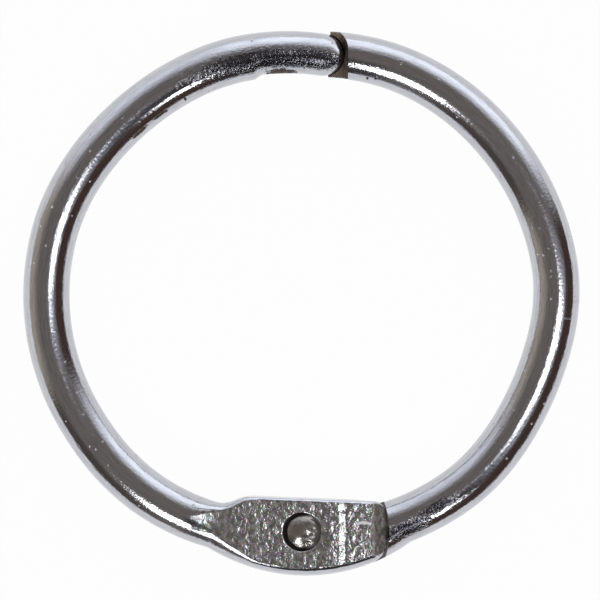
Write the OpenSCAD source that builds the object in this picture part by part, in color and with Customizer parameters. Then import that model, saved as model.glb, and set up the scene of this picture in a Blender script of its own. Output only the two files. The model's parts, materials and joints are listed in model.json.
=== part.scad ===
// Loose-leaf binder ring of round steel wire, lying flat with its hinge towards -Y.
// Two half rings are lapped and riveted at the hinge. At the top the front half's
// ball nose rests in a half socket at the end of the rear half.

/* [Wire] */
// Diameter of the wire
wire_d = 2.5; // [2.3:0.05:2.8]

/* [Ring] */
// Bend radius of each half, to the middle of the wire
bend_r = 12.95; // [11:0.05:18]
// Distance of each half's bend centre from the middle line of the ring
bend_spread = 0.8; // [0.5:0.05:1.1]

/* [Hinge plate] */
// Width of the plate from the wire's middle line to its straight inner edge
plate_in = 2.02; // [1.7:0.01:2.3]
// Width of the plate from the wire's middle line to its curved outer edge
plate_out = 2.15; // [1.9:0.01:2.6]
// Fall of both plates' inner edges towards the front plate's end
plate_tilt = 2.2; // [0:0.1:3]
// Depth of the pressed face below the crest of the wire
face_drop = 0.13; // [0.05:0.01:0.25]
// Radius of the curved outer edge, seen from above
rim_r = 9.7; // [9:0.1:14]
// Shift of the outer edge's centre from the rivet, towards the front plate's end
rim_shift = 0.2; // [0:0.05:0.4]
// Rounding of the face along the outer edge
rim_round = 0.46; // [0.2:0.02:0.6]
// Rounding of the face along the inner edge
inner_round = 0.16; // [0.08:0.02:0.3]

/* [Flare] */
// Distance from the rivet at which the wire starts to flatten
flare_start = 6.3; // [5.8:0.05:7]
// Distance from the rivet at which the plate has its full width
flare_end = 2.5; // [1.8:0.05:3]
// Distance from the wire's inner side to the flat, where the flat runs out
flat_inset_in = 0.82; // [0.5:0.02:0.9]
// Distance from the wire's outer side to the flat, where the flat runs out
flat_inset_out = 1.24; // [0.8:0.02:1.24]

/* [Tab] */
// Reach of the plate's end from the rivet
tab_reach = 4.63; // [4:0.01:4.9]
// Rounding of the front end's corner on the inside of the ring
tab_corner_in = 0.55; // [0.3:0.05:1]
// Rounding of the rear end's corner on the inside of the ring, hidden behind the front half
rear_corner_in = 1.7; // [1.2:0.05:1.9]
// Rounding of both ends' corners on the outside of the ring
tab_corner_out = 1.5; // [0.8:0.05:1.7]
// Distance of the crease from the rivet
crease_x = 2.2; // [1.9:0.05:2.8]
// Width of the crease's slope
crease_w = 0.2; // [0.1:0.02:0.4]
// Depth of the tab's face below the plate's face
crease_step = 0.06; // [0.03:0.01:0.15]
// Length of the end that is rolled down
roll_l = 0.86; // [0.5:0.02:1]
// Slope of the rolled end
roll_slope = 26; // [10:1:32]
// Bend radius at the start of the rolled end
roll_r = 0.4; // [0.2:0.05:0.8]

/* [Rivet] */
// Distance of the rivet inside the lowest point of the wire's middle line
rivet_inset = 0.25; // [0:0.05:0.4]
// Diameter of the rivet's shank
shank_d = 1.5; // [1:0.05:1.6]
// Diameter of the rivet's heads
head_d = 1.84; // [1.7:0.02:2]
// Height of the crown of a head above its rim
head_crown = 0.29; // [0.1:0.01:0.35]
// Height of the crown of a head above the plate's face
head_proud = 0.04; // [-0.05:0.01:0.05]
// How far the front head was set off centre when it was closed
head_offset = 0.08; // [0:0.01:0.1]
// Depth of the recess for a head
recess_depth = 0.45; // [0.35:0.01:0.55]

/* [Closing tip] */
// Reach of the ball nose past the middle line of the ring
nose_reach = 2.22; // [1.8:0.02:2.6]
// How much thinner the swaged end and its ball nose are than the wire
swage_depth = 0.22; // [0.2:0.01:0.4]
// Length of the swaged end, up to the middle of the ball nose
swage_l = 3.23; // [2:0.01:4.5]
// Length of the step from the wire to the swaged end
swage_step = 0.7; // [0.3:0.05:1.2]
// Distance from the nose to the shoulder that faces it
shoulder_gap = 0.25; // [0.15:0.01:0.4]
// Lap of the half socket over the ball nose
socket_lap = 0.76; // [0.4:0.02:0.9]
// Tilt of the half socket's rim, which stands higher on the outside of the ring
socket_tilt = 14; // [0:1:25]

/* [Fits] */
// Gap between the two plates
lap_gap = 0.05; // [0.03:0.01:0.1]
// Gap between a plate's end and the other half's step
tab_gap = 0.06; // [0.04:0.01:0.15]
// Radial clearance of the rivet in the front half, which turns on it
turning_fit = 0.05; // [0.02:0.01:0.1]
// Radial clearance of the rivet in the rear half, which holds it
holding_fit = 0.01; // [0.01:0.01:0.03]
// Clearance around a head in its recess
head_fit = 0.12; // [0.11:0.01:0.2]
// Clearance under the front head
head_play = 0.04; // [0.02:0.01:0.1]
// Clearance of the ball nose in the half socket
nose_fit = 0.08; // [0.05:0.01:0.12]

/* [Hidden] */
$fn = 96;
nickel = [0.71, 0.71, 0.72];
worn_nickel = [0.55, 0.54, 0.53];

// The wire and the ring. The bend centres lie on y = 0 until ring_shift moves the
// whole ring so that the origin is under the middle of its outline.
wire_r = wire_d / 2;
mid_z = wire_r;
ring_shift = (plate_out - wire_r) / 2;

// The plate's edges, face and mating side
inner_y = plate_in - bend_r;
rim_y = rim_r - plate_out - bend_r;
face_z = wire_d - face_drop;
lap_z = mid_z + lap_gap / 2;
rivet_y = rivet_inset - bend_r;
rivet = [0, rivet_y];

// The front half has side 1. The rear half has side -1: it is turned over later, so its edges
// lean the other way here, and then lie flush with the front plate's edges.
function tilt(side) = side * plate_tilt;
function rim(side) = [side * rim_shift, rim_y];
function corner_in(side) = side > 0 ? tab_corner_in : rear_corner_in;

// Angles about a half's bend centre: the hinge end lies below it, the tip above
function hinge_angle(x) = 360 - acos((x + bend_spread) / bend_r);
function tip_angle(x) = acos((x + bend_spread) / bend_r);
flare_from = hinge_angle(-flare_start);
flare_to = hinge_angle(-flare_end);

// The front half's tip
nose_r = (wire_d - swage_depth) / 2;
nose_x = nose_reach - nose_r;
swage_r = bend_r + wire_r - nose_r;
nose_at = tip_angle(nose_x);
swage_at = tip_angle(nose_x - swage_l);
step_at = tip_angle(nose_x - swage_l - swage_step);

// The rear half's tip, in the frame of a half that has not been turned over
socket_at = tip_angle(socket_lap - nose_reach);
shoulder_x = nose_reach + shoulder_gap;

// Shares of the flare: where the flat has its full depth, and where the inner and the outer
// side start to spread and reach the plate's edge
run_out = 0.39;
spread_in = [0.38, 0.85];
spread_out = [0, 0.35];

// A loft or ball that joins the wire is this much smaller, and reaches this far into it
seam = 0.006;
bite = 0.05;
bite_angle = atan(bite / bend_r);
corner_steps = 10;
flare_steps = 28;
step_steps = 5;
arc_steps = 10;
rim_sides = 240;

// The end's outer corner runs this far outside the rim where it would just touch it, and
// the end keeps at least this angle about the rivet between its corners
crossing = 0.02;
least_end = 2;
over = 1;

function mix(a, b, t) = a + (b - a) * t;
function ease(t) = let (u = min(max(t, 0), 1)) u * u * (3 - 2 * u);
function along(a, r) = [r * cos(a) - bend_spread, r * sin(a)];
function arc(c, r, from, to, steps) =
    [for (i = [0:steps]) c + r * [cos(mix(from, to, i / steps)), sin(mix(from, to, i / steps))]];

// Distance from the bend centre to the plate's inner and outer edge, along a ray
function inner_edge(a, side) =
    let (slope = tan(tilt(side)))
    (inner_y + bend_spread * slope) / (sin(a) + cos(a) * slope);
function outer_edge(a, side) =
    let (ray = [cos(a), sin(a)], to_rim = rim(side) - along(a, 0), near = ray * to_rim)
    near + sqrt(rim_r * rim_r - to_rim * to_rim + near * near);

// Wire section between two radii and two heights, with a width and a height for the
// rounding of its lower, outer and inner corners
function section(inner, outer, low, top, lower, outside, inside) =
    let (corners = [
        [outer - lower.x, low + lower.y, lower],
        [outer - outside.x, top - outside.y, outside],
        [inner + inside.x, top - inside.y, inside],
        [inner + lower.x, low + lower.y, lower],
    ])
    [for (c = [0:3], i = [0:corner_steps - 1])
        let (a = 90 * (c - 1 + (i + 0.5) / corner_steps), k = corners[c])
        [k[0] + k[2].x * cos(a), k[1] + k[2].y * sin(a)]];

// Section of the flare, from the round wire at t = 0 to the plate at t = 1
function spread(t, share) = ease((t - share[0]) / (share[1] - share[0]));
function flare_section(a, t, side) =
    let (
        skin = wire_r - seam,
        wire_out = bend_r + wire_r,
        flat = ease(t / run_out),
        top = mix(wire_r, wire_r - face_drop, flat) - seam,
        inner_w = mix(skin, mix(flat_inset_in, inner_round, t), flat),
        outer_w = mix(skin, mix(flat_inset_out, rim_round, t), flat)
    )
    section(
        mix(bend_r - wire_r, inner_edge(a, side), spread(t, spread_in)) + seam,
        mix(wire_out, max(wire_out, outer_edge(a, side)), spread(t, spread_out)) - seam,
        mid_z - skin,
        mid_z + top,
        [skin, skin],
        [outer_w, mix(top, rim_round, ease(t))],
        [inner_w, mix(top, inner_round, ease(t))]
    );

// Section of the step from the wire, at t = 0, to the swaged end, flush outside
function step_section(t) =
    let (r = mix(wire_r, nose_r, ease(t)) - seam, outer = bend_r + wire_r - seam)
    section(outer - 2 * r, outer, mid_z - r, mid_z + r, [r, r], [r, r], [r, r]);

// Skin through sections that stand on rays about the bend centre, by rising angle. The
// first and the last section are carried on into what the skin joins.
module loft(angles, sections) {
    end = len(angles) - 1;
    rays = [angles[0] - bite_angle, each angles, angles[end] + bite_angle];
    skins = [sections[0], each sections, sections[end]];
    rings = len(rays);
    count = len(sections[0]);
    points = [for (i = [0:rings - 1], p = skins[i]) [each along(rays[i], p.x), p.y]];
    sides = [for (i = [0:rings - 2], j = [0:count - 1])
        let (k = (j + 1) % count, a = i * count, b = a + count)
        each [[a + j, a + k, b + k], [a + j, b + k, b + j]]];
    first = [for (j = [0:count - 1]) count - 1 - j];
    last = [for (j = [0:count - 1]) (rings - 1) * count + j];
    polyhedron(points, [first, each sides, last]);
}

// Round wire along the bend
module wire_arc(path_r, r, from, to) {
    translate([-bend_spread, 0, 0])
        rotate_extrude(angle = to - from, start = from)
            translate([path_r, mid_z])
                circle(r);
}

// The stretch in which the wire is pressed flat and spreads to the plate's width
module hinge_flare(side) {
    angles = [for (i = [0:flare_steps]) mix(flare_from, flare_to, i / flare_steps)];
    loft(angles, [for (i = [0:flare_steps]) flare_section(angles[i], i / flare_steps, side)]);
}

// Disc under the plate's curved outer edge, rounded over at the face
module rim_disc(side) {
    round_at = [rim_r - rim_round, face_z - rim_round];
    rounding = arc(round_at, rim_round, 0, 90, arc_steps);
    translate(rim(side))
        rotate_extrude($fn = rim_sides)
            polygon([[0, -over], [rim_r, -over], each rounding, [0, face_z]]);
}

// Outline of the plate from above: from the flare, along the straight inner edge, round
// an end that is concentric with the rivet. The rim disc cuts the curved outer edge. The
// inner corner takes no more of a narrow end than the outer corner leaves.
module plate_outline(side) {
    lean = tilt(side);
    out_r = tab_reach - tab_corner_out;
    rim_c = rim_r + crossing - tab_corner_out;
    gap = norm(rivet - rim(side));
    down = (rivet - rim(side)) / gap;
    reach = (gap * gap + rim_c * rim_c - out_r * out_r) / (2 * gap);
    out_c = rim(side) + down * reach + [-down.y, down.x] * sqrt(rim_c * rim_c - reach * reach);
    out_a = atan2(out_c.y - rivet_y, out_c.x);
    rim_a = atan2(out_c.y - rim_y, out_c.x - side * rim_shift);
    wide_in = (inner_y - rivet_y) * cos(lean);
    left = sin(out_a + least_end + lean);
    corner = min(corner_in(side), (wide_in - tab_reach * left) / (1 - left));
    in_r = tab_reach - corner;
    in_a = asin((wide_in - corner) / in_r) - lean;
    in_c = rivet + in_r * [cos(in_a), sin(in_a)];
    polygon([
        along(flare_to, bend_r + plate_out + over),
        along(flare_to, inner_edge(flare_to, side)),
        each arc(in_c, corner, 90 - lean, in_a, arc_steps),
        each arc(rivet, tab_reach, in_a, out_a, arc_steps),
        each arc(out_c, tab_corner_out, out_a, rim_a, arc_steps),
        rim(side) + (rim_r + over) * [cos(rim_a), sin(rim_a)],
    ]);
}

// Long section of the plate: the face, the crease's slope, the tab and its rolled end
module plate_profile() {
    tab_z = face_z - crease_step;
    roll_c = [tab_reach - roll_l, tab_z - roll_r];
    roll_end = roll_c + roll_r * [sin(roll_slope), cos(roll_slope)];
    rise = over / crease_step;
    polygon([
        [-flare_start, -over],
        [-flare_start, face_z + over],
        [crease_x - crease_w * (0.5 + rise), face_z + over],
        [crease_x + crease_w / 2, tab_z],
        each arc(roll_c, roll_r, 90, 90 - roll_slope, arc_steps),
        roll_end + (roll_l + over) * [1, -tan(roll_slope)],
        [roll_end.x + roll_l + over, -over],
    ]);
}

// Cross-section that breaks the plate's inner edge along the face
module plate_inner_side() {
    edge = inner_round / 2;
    wide = 2 * (plate_in + plate_out);
    polygon([
        [-wide, -over],
        [over, -over],
        [over, face_z - edge - over],
        [-edge - over, face_z + over],
        [-wide, face_z + over],
    ]);
}

module hinge_plate(side) {
    long = 2 * (flare_start + tab_reach);
    wide = bend_r + plate_out + over;
    intersection() {
        rim_disc(side);
        translate([0, 0, -over / 2])
            linear_extrude(wire_d + over)
                plate_outline(side);
        rotate([90, 0, 0])
            linear_extrude(wide)
                plate_profile();
        translate([0, inner_y, 0])
            rotate([90, 0, 90 - tilt(side)])
                linear_extrude(long, center = true)
                    plate_inner_side();
    }
}

// Room below a half's plate for the other half's plate, which turns about the rivet
module lap_room() {
    translate([0, rivet_y, lap_z - wire_d])
        cylinder(h = wire_d, r = tab_reach + tab_gap);
}

// Bore for the rivet's shank and recess for its head
module rivet_seat(fit) {
    translate([0, rivet_y, 0]) {
        cylinder(h = wire_d, d = shank_d + 2 * fit);
        translate([0, 0, face_z - recess_depth])
            cylinder(h = wire_d, d = head_d + 2 * head_fit);
    }
}

// A half without its tip: wire from an angle near the top to the plate at the hinge
module half_ring(from, fit, side) {
    difference() {
        union() {
            wire_arc(bend_r, wire_r, from, flare_from);
            hinge_flare(side);
            hinge_plate(side);
        }
        lap_room();
        rivet_seat(fit);
    }
}

// The end of the front half: a step on the inner side, the swaged end and the ball nose
module ball_nose() {
    angles = [for (i = [0:step_steps]) mix(swage_at, step_at, i / step_steps)];
    loft(angles, [for (i = [0:step_steps]) step_section(1 - i / step_steps)]);
    wire_arc(swage_r, nose_r, nose_at, swage_at);
    translate([each along(nose_at, swage_r), mid_z])
        sphere(nose_r - seam);
}

// What is cut from the end of the rear half: the half above the socket's tilted rim, as
// far as the shoulder, and room for the ball nose
module socket_room() {
    nose = along(nose_at, swage_r);
    translate([-nose.x, nose.y, mid_z]) {
        sphere(nose_r + nose_fit);
        translate([nose.x - shoulder_x, 0, 0])
            rotate([-socket_tilt, 0, 0])
                translate([0, -wire_d, -wire_d])
                    cube([shoulder_x, 2 * wire_d, wire_d]);
    }
}

// Turns a half over, about the line through the rivet along the ring's middle
module turned_over() {
    translate([0, 0, 2 * mid_z])
        rotate([0, 180, 0])
            children();
}

// Rivet head from its underside at z = 0, with a domed crown
module rivet_head(height) {
    head_r = head_d / 2;
    crown_r = (head_r * head_r + head_crown * head_crown) / (2 * head_crown);
    rotate_extrude()
        intersection() {
            square([head_r, height]);
            translate([0, height - crown_r])
                circle(crown_r);
        }
}

module front_half() {
    color(nickel)
        translate([0, ring_shift, 0])
            union() {
                half_ring(step_at, turning_fit, 1);
                ball_nose();
            }
}

module rear_half() {
    color(nickel)
        translate([0, ring_shift, 0])
            turned_over()
                difference() {
                    half_ring(socket_at, holding_fit, -1);
                    socket_room();
                }
}

module hinge_rivet() {
    front_z = face_z - recess_depth;
    rear_z = 2 * mid_z - front_z;
    height = recess_depth + head_proud;
    color(worn_nickel)
        translate([0, ring_shift + rivet_y, 0])
            union() {
                translate([0, 0, rear_z])
                    cylinder(h = front_z + head_play - rear_z, d = shank_d);
                translate([head_offset, 0, front_z + head_play])
                    rivet_head(height - head_play);
                turned_over()
                    translate([0, 0, front_z])
                        rivet_head(height);
            }
}

front_half();
rear_half();
hinge_rivet();
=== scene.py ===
# %% [markdown]
# # A binder ring of nickel-plated wire
# The ring is two lengths of round steel wire, bent to half circles. One end of each is pressed to a
# flat plate, and a rivet joins the two plates to a hinge. At the other end a ball nose on one half
# drops into a half socket on the other. This lesson dresses the packed solids of that ring in
# smoother meshes and in worn nickel. The packed model is loaded first, because every piece has to
# lie exactly where its solid lies.

# %% Load the packed ring as a fixed frame
import json
import math

import bmesh
import bpy
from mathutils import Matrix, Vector


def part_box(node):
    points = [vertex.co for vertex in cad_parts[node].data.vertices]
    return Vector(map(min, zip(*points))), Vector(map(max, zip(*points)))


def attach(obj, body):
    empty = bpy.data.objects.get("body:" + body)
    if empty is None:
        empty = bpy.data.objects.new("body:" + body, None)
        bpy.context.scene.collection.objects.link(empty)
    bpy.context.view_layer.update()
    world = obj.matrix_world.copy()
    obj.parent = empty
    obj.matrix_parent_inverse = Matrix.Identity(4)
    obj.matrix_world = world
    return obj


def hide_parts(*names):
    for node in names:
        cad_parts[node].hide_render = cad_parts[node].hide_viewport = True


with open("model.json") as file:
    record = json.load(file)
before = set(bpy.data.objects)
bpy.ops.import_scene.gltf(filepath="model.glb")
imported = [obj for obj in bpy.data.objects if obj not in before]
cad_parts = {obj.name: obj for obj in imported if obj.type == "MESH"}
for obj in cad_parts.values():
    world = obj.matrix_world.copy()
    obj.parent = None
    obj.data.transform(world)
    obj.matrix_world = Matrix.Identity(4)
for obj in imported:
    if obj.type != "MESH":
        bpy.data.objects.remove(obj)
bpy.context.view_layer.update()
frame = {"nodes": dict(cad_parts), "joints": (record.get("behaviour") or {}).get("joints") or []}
print("packed pieces:", sorted(frame["nodes"]))

# %% [markdown]
# ## Sizes
# The meshes have to keep the size of the solids. The wire's thickness, the bend and the plate's
# outer edge are read from the packed box, and the place of the rivet from the hinge. The smaller
# sizes of the pressed plate and of the tip can't be read from a box, so they are named here. Every
# length below is in millimetres and is scaled to metres only when a mesh is made.

# %% Sizes that the frame gives, in millimetres
MM = 0.001
corners = [corner for name in frame["nodes"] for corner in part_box(name)]
low = [round(min(c[i] for c in corners) / MM, 2) for i in range(3)]
high = [round(max(c[i] for c in corners) / MM, 2) for i in range(3)]
hinge_at = [v / MM for v in frame["joints"][0]["pos_m"]]

bend_spread = 0.8
wire_r = (high[2] - low[2]) / 2
mid_z = low[2] + wire_r
bend_r = high[0] - bend_spread - wire_r
ring_shift = high[1] - bend_r - wire_r
plate_out = ring_shift - bend_r - low[1]
rivet = Vector((hinge_at[0], hinge_at[1] - ring_shift))
print(f"wire {2 * wire_r:.2f}, bend radius {bend_r:.2f}, plate {plate_out:.2f} outside the wire's middle")

# %% [markdown]
# The press and the cutters set the rest of the shape. These sizes could be measured again on the
# solids, but named values are easier to follow and to change.

# %% Sizes of the pressed plate and of the tip
# The plate: its inner edge, that edge's tilt, the depth of the face, and the rounding of the rim
plate_in, plate_tilt, face_drop = 2.02, math.radians(2.2), 0.13
rim_r, rim_shift, rim_w, rim_h, inner_round = 9.7, 0.2, 0.52, 1.1, 0.16
# The flare: its start and end before the hinge, and how the flat runs out in it
flare_start, flare_end = 6.3, 2.5
flat_inset_in, flat_inset_out = 0.82, 1.24
run_out, face_run, spread_in, spread_out = 0.39, 0.5, (0.36, 0.80), (0.0, 0.35)
# The tab: its reach from the rivet, its corners, its crease and its rolled end
tab_reach, tab_corner_in, rear_corner_in, tab_corner_out = 4.63, 0.7, 1.95, 1.5
crease_x, crease_w, crease_step = 2.2, 0.36, 0.06
roll_l, roll_slope, roll_r = 0.86, math.radians(26), 0.4
# The tip: the ball nose, the swaged stretch, and the socket that takes the nose
nose_reach, nose_r = 2.22, wire_r - 0.11
swage_l, swage_step = 3.23, 0.7
shoulder_gap, socket_lap, socket_tilt, nose_fit = 0.25, 0.76, math.radians(14), 0.08
# The hinge: its clearances, and the rivet with its heads and recesses
lap_gap, tab_gap, turning_fit, holding_fit = 0.05, 0.06, 0.05, 0.01
shank_d, head_d, head_crown, head_proud = 1.5, 1.84, 0.29, 0.04
head_offset, head_fit, head_play, recess_depth = 0.08, 0.12, 0.04, 0.45

face_z = 2 * wire_r - face_drop
lap_z = mid_z + lap_gap / 2
inner_y = plate_in - bend_r
rim_y = rim_r - plate_out - bend_r
print(f"plate face at {face_z:.2f}, plates meet at {mid_z:.2f}")

# %% [markdown]
# ## Sections of the wire
# A pressed wire is easiest to build as a skin over many cross-sections. All of them have the same
# number of points, so neighbours join with plain four-sided faces. A section here is a rectangle
# with four elliptical corners: when the corners meet it is the round wire, and when they are small
# it is the plate. The points are spaced so that the corners keep most of them.

# %% A section with four rounded corners
SIDES = 96
CORNER_SHARE = 3.0


def quarter(start, centre, size, from_angle, end, count):
    """Points from start, round an elliptical corner, towards end."""
    def on_corner(turn):
        angle = from_angle + turn * math.pi / 2
        return (centre[0] + size[0] * math.cos(angle), centre[1] + size[1] * math.sin(angle))

    first = math.dist(start, on_corner(0))
    bend = CORNER_SHARE * (size[0] + size[1]) * math.pi / 4
    last = math.dist(on_corner(1), end)
    points = []
    for i in range(count):
        way = (first + bend + last) * i / count
        if way < first:
            a, b, t = start, on_corner(0), way / first
        elif way < first + bend or last == 0:
            a = b = on_corner((way - first) / bend)
            t = 0
        else:
            a, b, t = on_corner(1), end, (way - first - bend) / last
        points.append((a[0] + (b[0] - a[0]) * t, a[1] + (b[1] - a[1]) * t))
    return points


def section(inner, outer, floor_z, top, lower, outside, inside):
    """Closed outline of a section, as (distance outwards, height) pairs."""
    under = ((inner + outer) / 2, floor_z)
    out_z = (floor_z + lower[1] + top - outside[1]) / 2
    in_z = (floor_z + lower[1] + top - inside[1]) / 2
    crest = ((outer - outside[0] + inner + inside[0]) / 2, top)
    corners = [
        (under, (outer - lower[0], floor_z + lower[1]), lower, (outer, out_z)),
        ((outer, out_z), (outer - outside[0], top - outside[1]), outside, crest),
        (crest, (inner + inside[0], top - inside[1]), inside, (inner, in_z)),
        ((inner, in_z), (inner + lower[0], floor_z + lower[1]), lower, under),
    ]
    loop = []
    for i, (start, centre, size, end) in enumerate(corners):
        loop += quarter(start, centre, size, (i - 1) * math.pi / 2, end, SIDES // 4)
    return loop


def round_section(path_r, r):
    return section(path_r - r, path_r + r, mid_z - r, mid_z + r, (r, r), (r, r), (r, r))


def mix(a, b, t):
    return a + (b - a) * t


def ease(t):
    t = min(max(t, 0.0), 1.0)
    return t * t * (3 - 2 * t)


print("points in a section:", len(round_section(bend_r, wire_r)))

# %% [markdown]
# ## The hinge end: flare and plate
# On the real ring a press squeezes the end of the wire flat, so the metal spreads sideways. The
# flare is the stretch in which the round wire turns into the plate. Its sections stand on rays about
# the bend centre, and each of them is a mix of the round wire and the plate. Both halves are built in
# the front half's frame, and the rear one is turned over later. So its edges lean the other way here:
# side is 1 for the front half and -1 for the rear half.

# %% Sections of the flare
def on_ray(angle, distance):
    return (distance * math.cos(angle) - bend_spread, distance * math.sin(angle))


def hinge_angle(x):
    return 2 * math.pi - math.acos((x + bend_spread) / bend_r)


def inner_edge(angle, side):
    slope = math.tan(side * plate_tilt)
    return (inner_y + bend_spread * slope) / (math.sin(angle) + math.cos(angle) * slope)


def outer_edge(angle, side):
    ray = Vector((math.cos(angle), math.sin(angle)))
    to_rim = Vector((side * rim_shift + bend_spread, rim_y))
    near = ray.dot(to_rim)
    return near + math.sqrt(rim_r ** 2 - to_rim.length_squared + near ** 2)


def widen(t, share):
    return ease((t - share[0]) / (share[1] - share[0]))


def flare_section(angle, t, side):
    flat, wire_out = ease(t / run_out), bend_r + wire_r
    top = mix(wire_r, wire_r - face_drop, ease(t / face_run))
    inner_w = mix(wire_r, mix(flat_inset_in, inner_round, t), flat)
    outer_w = mix(wire_r, mix(flat_inset_out, rim_w, t * t), flat)
    return section(
        mix(bend_r - wire_r, inner_edge(angle, side), widen(t, spread_in)),
        mix(wire_out, max(wire_out, outer_edge(angle, side)), widen(t, spread_out)),
        mid_z - wire_r, mid_z + top, (wire_r, wire_r),
        (outer_w, mix(top, rim_h, ease(t))), (inner_w, mix(top, inner_round, ease(t))))


def ray_loop(angle, outline):
    return [(*on_ray(angle, r), z) for r, z in outline]


print(f"flare: {flare_start - flare_end:.1f} wide, the flat runs out over its first {run_out:.0%}")

# %% [markdown]
# A wire that is bent by hand or in a simple tool never follows a true arc. Each half of this ring has
# two shallow places, a flat or a bulge of up to a quarter of a millimetre. They are written here as
# an angle about the bend centre, a depth and a half width. One rule turns them into a push inwards,
# and both the flare and the swept wire follow it.

# %% Flats and bulges of the bend
FRONT_FLATS = {"Upper": (132, 0.19, 33), "Lower": (236, -0.11, 26)}
REAR_FLATS = {"Upper": (146, 0.18, 42), "Lower": (203, 0.25, 30)}


def push_in(angle, flats):
    total = 0.0
    for at, depth, width in flats.values():
        off = (angle - math.radians(at)) / math.radians(width)
        total += depth * max(1 - off * off, 0.0) ** 2
    return total


FLARE_STATIONS = 90
flare_from, flare_to = hinge_angle(-flare_start), hinge_angle(-flare_end)


def flare_loops(side, flats):
    loops = []
    for i in range(FLARE_STATIONS + 1):
        t = i / FLARE_STATIONS
        angle = mix(flare_from, flare_to, t)
        push = push_in(angle, flats)
        loops.append(ray_loop(angle, [(r - push, z) for r, z in flare_section(angle, t, side)]))
    return loops


print("flare sections:", len(flare_loops(1, FRONT_FLATS)))

# %% [markdown]
# The plate itself is cut into slices across its length. Its inner edge is straight, its outer edge
# is an arc, and its end is an arc about the rivet with two rounded corners, so that it clears the
# other half when the ring opens. Each slice only has to know where these edges lie.

# %% Outline of the plate
def half_chord(x, centre_x, r):
    return math.sqrt(max(r ** 2 - (x - centre_x) ** 2, 0.0))


def inside_y(x, side):
    tilt, corner_r = side * plate_tilt, tab_corner_in if side > 0 else rear_corner_in
    in_r = tab_reach - corner_r
    in_angle = math.asin(((inner_y - rivet.y) * math.cos(tilt) - corner_r) / in_r) - tilt
    corner = rivet + in_r * Vector((math.cos(in_angle), math.sin(in_angle)))
    if x < corner.x + corner_r * math.sin(tilt):
        return inner_y - x * math.tan(tilt)
    if x < rivet.x + tab_reach * math.cos(in_angle):
        return corner.y + half_chord(x, corner.x, corner_r)
    return rivet.y + half_chord(x, rivet.x, tab_reach)


def outer_corner(side):
    """Centre of the end's outer corner, where the rim ends and where the end starts."""
    rim = Vector((side * rim_shift, rim_y))
    end_r, rim_c = tab_reach - tab_corner_out, rim_r - tab_corner_out
    gap = (rivet - rim).length
    down = (rivet - rim) / gap
    reach = (gap ** 2 + rim_c ** 2 - end_r ** 2) / (2 * gap)
    corner = rim + down * reach + Vector((-down.y, down.x)) * math.sqrt(rim_c ** 2 - reach ** 2)
    to_end, to_rim = (corner - rivet).normalized(), (corner - rim).normalized()
    return corner, rim.x + rim_r * to_rim.x, rivet.x + tab_reach * to_end.x


def outside_y(x, side):
    corner, rim_until, end_from = outer_corner(side)
    if x < rim_until:
        return rim_y - half_chord(x, side * rim_shift, rim_r)
    if x < end_from:
        return corner.y - half_chord(x, corner.x, tab_corner_out)
    return rivet.y - half_chord(x, rivet.x, tab_reach)


print("outer corner from x %.2f to %.2f" % outer_corner(1)[1:])

# %% [markdown]
# The face isn't level: a shallow crease sets the tab a little lower, and the tab's end is rolled down,
# so that it doesn't catch on paper. A bump could fake both, but they show at the outline, so each
# slice takes its height from one rule.

# %% Slices of the plate, with its crease and rolled end
EDGE_BREAK, WIDEST_ROUND = 0.06, 0.45
bend_l = roll_r * math.sin(roll_slope)


def face_height(x):
    z = face_z - crease_step * ease((x - crease_x) / crease_w + 0.5)
    rolled = max(x - (tab_reach - roll_l), 0.0)
    bent = min(rolled, bend_l)
    return z - roll_r + math.sqrt(roll_r ** 2 - bent ** 2) - (rolled - bent) * math.tan(roll_slope)


def plate_loop(x_in, x_out, side):
    a, b = Vector((x_in, inside_y(x_in, side))), Vector((x_out, outside_y(x_out, side)))
    width, rim_until = (b - a).length, outer_corner(side)[1]
    fade = ease((x_out - rim_until) / (tab_reach - rim_until))
    outer_round = min(mix(rim_w, EDGE_BREAK, fade), WIDEST_ROUND * width)
    inside_round = min(mix(inner_round, EDGE_BREAK, fade), WIDEST_ROUND * width)
    lower = (min(wire_r, width / 2), wire_r)
    outline = section(0, width, mid_z - wire_r, face_height(x_out), lower,
                      (outer_round, mix(rim_h, EDGE_BREAK, fade)),
                      (inside_round, mix(inner_round, EDGE_BREAK, fade)))
    loop = []
    for q, z in outline:
        p = a + (b - a) * (q / width)
        left = min(max(tab_reach - (p - rivet).length, 0.0), EDGE_BREAK)
        if p.x > crease_x and z > mid_z:
            drop = EDGE_BREAK - math.sqrt(EDGE_BREAK ** 2 - (EDGE_BREAK - left) ** 2)
            z -= drop * (z - mid_z) / wire_r
        loop.append((p.x, p.y, z))
    return loop


def spread(start, end, count):
    return [mix(start, end, (i + 1) / count) for i in range(count)]


STRAIGHT_FROM, FAN_SLICES, CREASE_SLICED = 1.5, 24, 0.6
END_SLICES, END_SHARE = 16, 0.95
roll_from = tab_reach - roll_l
# Where each stretch of straight slices ends, and the number of its slices
STRETCHES = [(crease_x - crease_w * CREASE_SLICED, 5), (crease_x + crease_w * CREASE_SLICED, 14),
             (roll_from, 12), (roll_from + bend_l, 10), (tab_reach - EDGE_BREAK, 14)]


def plate_loops(side):
    """Slices that fan out from the flare's last ray, then straight ones up to the end of the tab."""
    x_in, x_out = (on_ray(flare_to, edge(flare_to, side))[0] for edge in (inner_edge, outer_edge))
    pairs = [[mix(x, STRAIGHT_FROM, t) for x in (x_in, x_out)] for t in spread(0, 1, FAN_SLICES)]
    slices, start = [], STRAIGHT_FROM
    for end, count in STRETCHES:
        slices += spread(start, end, count)
        start = end
    slices += [tab_reach - EDGE_BREAK * (1 - t) ** 2 for t in spread(0, END_SHARE, END_SLICES)]
    return [plate_loop(*pair, side) for pair in pairs + [(x, x) for x in slices]]


print("plate slices:", len(plate_loops(1)))

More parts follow.
